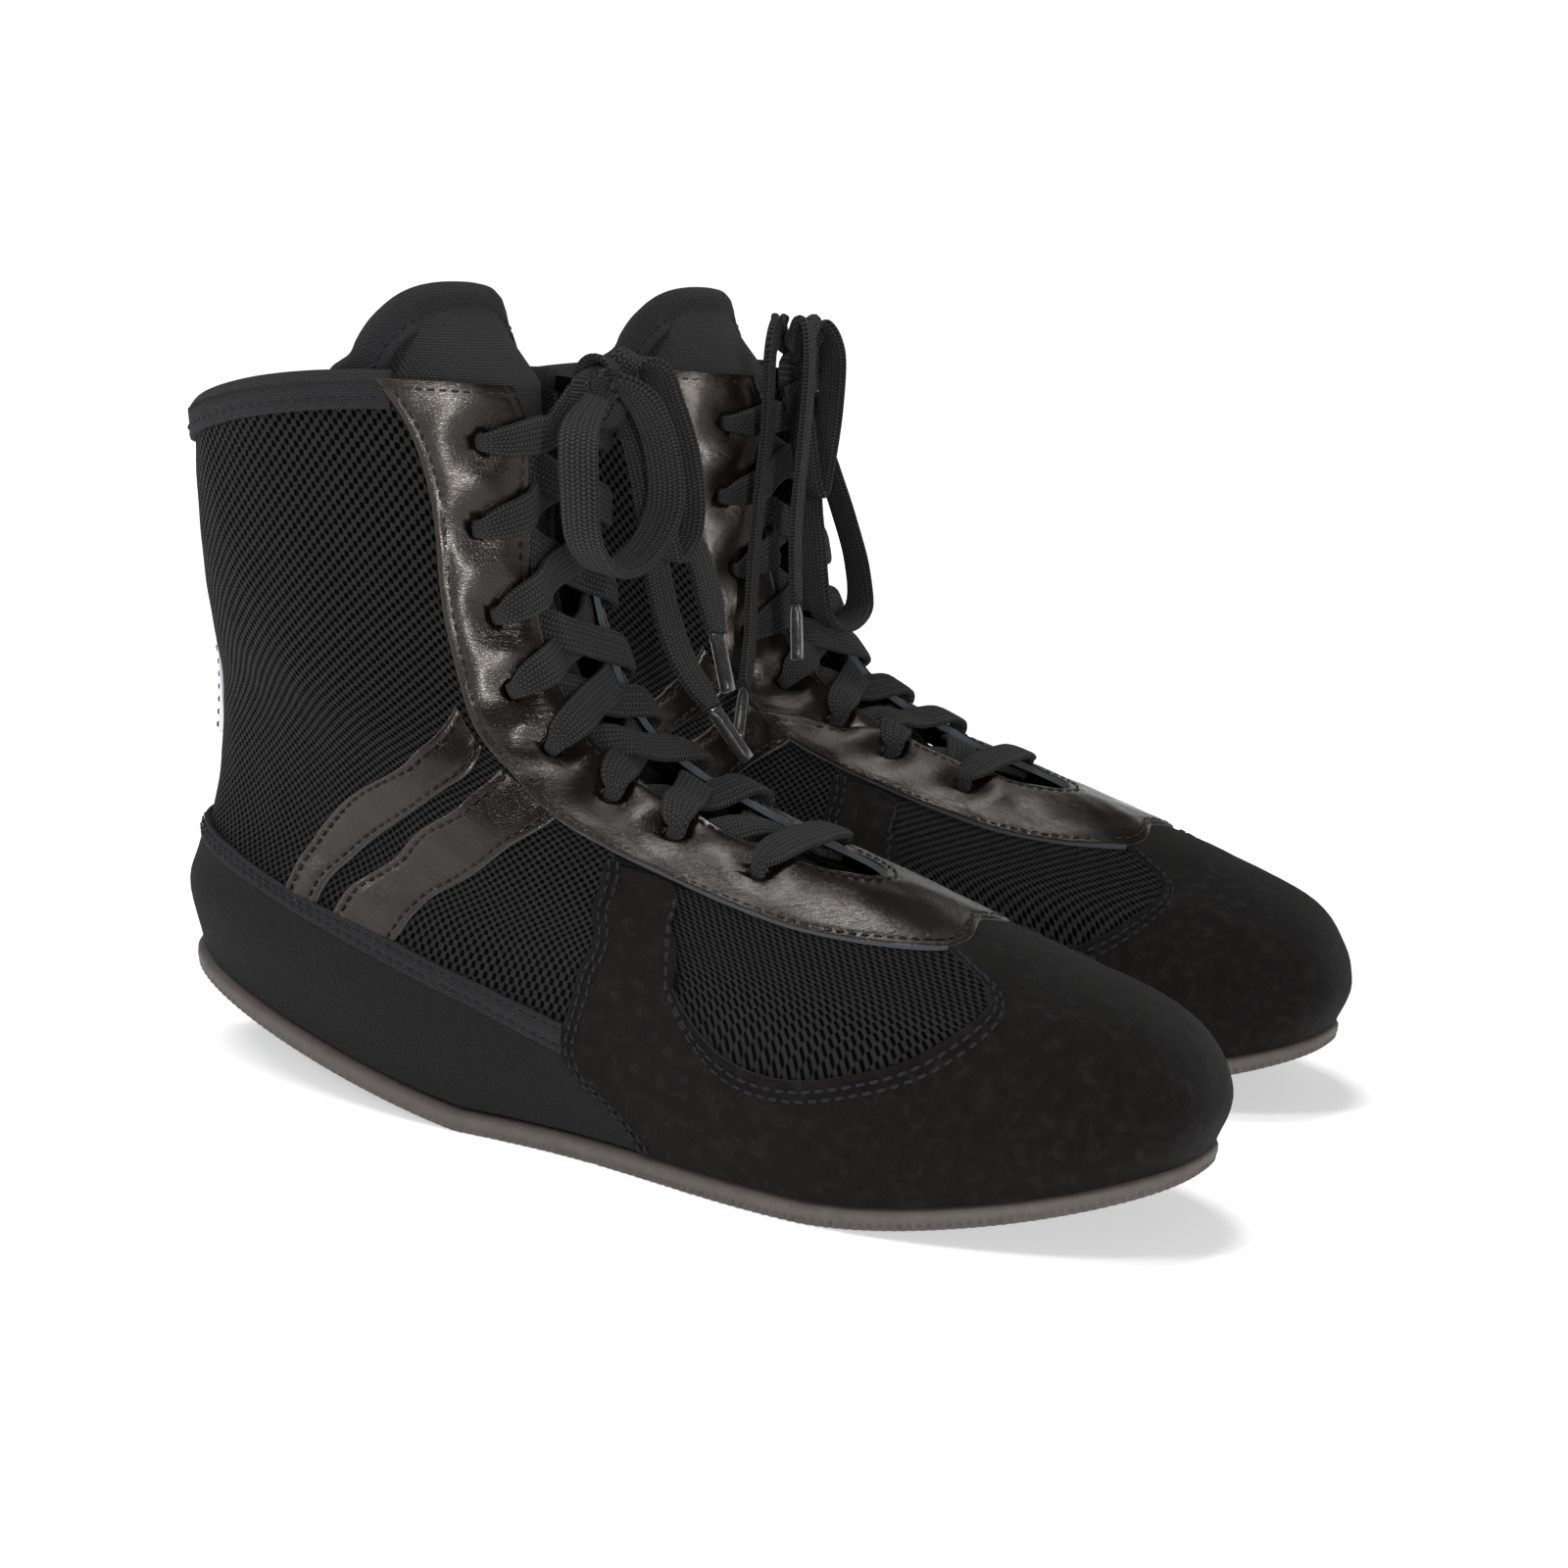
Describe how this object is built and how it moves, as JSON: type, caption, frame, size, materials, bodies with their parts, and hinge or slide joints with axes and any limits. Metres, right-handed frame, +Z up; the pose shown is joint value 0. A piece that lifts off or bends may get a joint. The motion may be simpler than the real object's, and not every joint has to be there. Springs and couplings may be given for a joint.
{
  "type": "boxing boots",
  "caption": "Pair of ankle-high lace-up boxing boots with thin rubber soles, mesh uppers, leather eyestays and suede toes.",
  "frame": {"origin": "on the floor, under the centre of the pair's outline without its free laces", "axes": "+Z up, -Y towards the toes, +X towards the outer side of the left boot"},
  "size_m": [0.2208, 0.2741, 0.1891],
  "materials": {
    "sole_rubber": "matte, fine ribbed edge",
    "insole_board": "pressed fibre board",
    "sock_fabric": "brushed fabric over foam",
    "stiffener": "matte sheet",
    "lining_fabric": "fine knit",
    "knit_mesh": "open honeycomb knit",
    "suede": "suede nap",
    "gloss_leather": "glossy fine grain",
    "canvas": "plain weave",
    "woven_tape": "twill tape",
    "silver_film": "satin film",
    "tongue_canvas": "twill canvas",
    "lace_cotton": "flat woven",
    "clear_plastic": "thin film"
  },
  "bodies": {
    "right_boot": {"right_outsole": "sole_rubber", "right_insole_board": "insole_board", "right_sock_liner": "sock_fabric", "right_heel_counter": "stiffener", "right_toe_puff": "stiffener", "right_vamp_lining": "lining_fabric", "right_quarter_lining": "lining_fabric", "right_quarter_lateral": "knit_mesh", "right_quarter_medial": "knit_mesh", "right_vamp_mesh": "knit_mesh", "right_suede_toe": "suede", "right_eyestay_lateral": "gloss_leather", "right_eyestay_medial": "gloss_leather", "right_rear_bands": "gloss_leather", "right_front_bands": "gloss_leather", "right_side_canvas": "canvas", "right_band_tape": "woven_tape", "right_collar_binding": "woven_tape", "right_heel_patch": "silver_film", "right_tongue_base": "tongue_canvas", "right_lacing": "lace_cotton", "right_bow_knot": "lace_cotton", "right_bow_loops": "lace_cotton", "right_lace_tails": "lace_cotton", "right_aglets": "clear_plastic"},
    "left_boot": {"left_outsole": "sole_rubber", "left_insole_board": "insole_board", "left_sock_liner": "sock_fabric", "left_heel_counter": "stiffener", "left_toe_puff": "stiffener", "left_vamp_lining": "lining_fabric", "left_quarter_lining": "lining_fabric", "left_quarter_lateral": "knit_mesh", "left_quarter_medial": "knit_mesh", "left_vamp_mesh": "knit_mesh", "left_suede_toe": "suede", "left_eyestay_lateral": "gloss_leather", "left_eyestay_medial": "gloss_leather", "left_rear_bands": "gloss_leather", "left_front_bands": "gloss_leather", "left_side_canvas": "canvas", "left_band_tape": "woven_tape", "left_collar_binding": "woven_tape", "left_heel_patch": "silver_film", "left_tongue_base": "tongue_canvas", "left_lacing": "lace_cotton", "left_bow_knot": "lace_cotton", "left_bow_loops": "lace_cotton", "left_lace_tails": "lace_cotton", "left_aglets": "clear_plastic"},
    "right_tongue_flap": {"right_tongue": "tongue_canvas", "right_tongue_pad": "lining_fabric", "right_tongue_binding": "woven_tape"},
    "left_tongue_flap": {"left_tongue": "tongue_canvas", "left_tongue_pad": "lining_fabric", "left_tongue_binding": "woven_tape"}
  },
  "joints": [
    {"name": "left_boot_lift", "type": "slide", "parent": "right_boot", "child": "left_boot", "axis": [0, 0, 1], "range_m": [0, 0.25]},
    {"name": "right_tongue_tilt", "type": "hinge", "parent": "right_boot", "child": "right_tongue_flap", "pos_m": [-0.067, -0.0114, 0.067], "axis": [1, 0, 0], "range_deg": [-8, 0], "stiffness_Nm_per_rad": 1},
    {"name": "left_tongue_tilt", "type": "hinge", "parent": "left_boot", "child": "left_tongue_flap", "pos_m": [0.067, -0.0024, 0.067], "axis": [1, 0, 0], "range_deg": [-8, 0], "stiffness_Nm_per_rad": 1}
  ]
}
